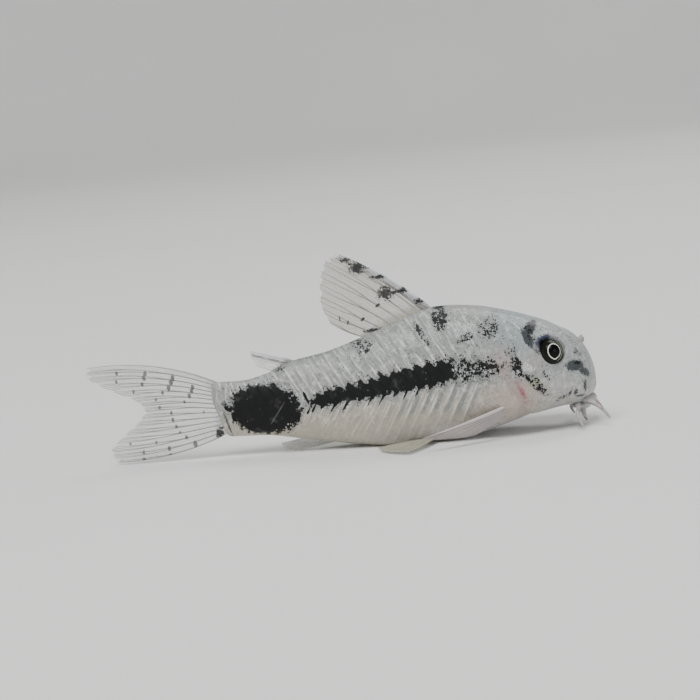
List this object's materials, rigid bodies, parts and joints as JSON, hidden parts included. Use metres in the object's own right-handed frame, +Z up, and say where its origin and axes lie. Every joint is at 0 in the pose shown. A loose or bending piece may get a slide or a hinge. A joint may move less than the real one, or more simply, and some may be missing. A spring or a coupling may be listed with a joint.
{
  "type": "corydoras catfish model",
  "caption": "Life-size still model of a small salt-and-pepper corydoras catfish resting on its belly, with armoured sides, rayed fins, large eyes and mouth feelers.",
  "frame": {"origin": "on the floor under the middle of the belly, at the belly_rest mount", "axes": "+X towards the snout, +Y to the fish's left, +Z up"},
  "size_m": [0.0333, 0.0104, 0.0125],
  "materials": {
    "skin": "silvery grey armoured skin with black markings, moist and satin",
    "clear_fin": "clear pale membrane over thin grey rays with dark dots",
    "pale_fin": "pale pinkish white rays and membrane",
    "eye": "wet black eye with a thin bright ring",
    "feeler": "soft grey skin"
  },
  "bodies": {
    "root": {"head": "skin", "trunk": "skin", "tail_stem": "skin", "dorsal_fin": "clear_fin", "adipose_fin": "clear_fin", "tail_fin": "clear_fin", "anal_fin": "clear_fin", "pectoral_fin_left": "pale_fin", "pectoral_fin_right": "pale_fin", "pelvic_fin_left": "pale_fin", "pelvic_fin_right": "pale_fin", "eye_left": "eye", "eye_right": "eye", "barbel_upper_left": "feeler", "barbel_upper_right": "feeler", "barbel_lower_left": "feeler", "barbel_lower_right": "feeler"}
  },
  "joints": []
}
